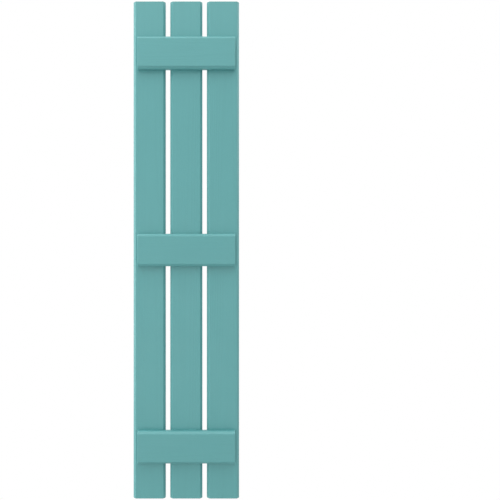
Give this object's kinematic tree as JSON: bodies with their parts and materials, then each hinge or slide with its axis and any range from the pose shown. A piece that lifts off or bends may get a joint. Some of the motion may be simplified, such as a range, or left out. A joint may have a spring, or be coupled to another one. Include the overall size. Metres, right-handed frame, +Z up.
{
  "type": "board and batten shutter",
  "caption": "Fixed exterior window shutter of spaced upright boards joined by short battens across the front, with bevelled long edges and a flat back for a wall.",
  "frame": {"origin": "centre of the middle board's back face, on the plane that lies against the wall", "axes": "+Z up along the boards, +Y out of the back into the wall, so the front faces -Y and +X is to the right of someone facing the shutter"},
  "size_m": [0.2922, 0.0381, 1.3716],
  "materials": {
    "painted_board": "satin",
    "painted_batten": "satin",
    "screw_steel": "satin"
  },
  "bodies": {
    "root": {"left_board": "painted_board", "middle_board": "painted_board", "right_board": "painted_board", "top_batten": "painted_batten", "middle_batten": "painted_batten", "bottom_batten": "painted_batten"}
  },
  "joints": []
}
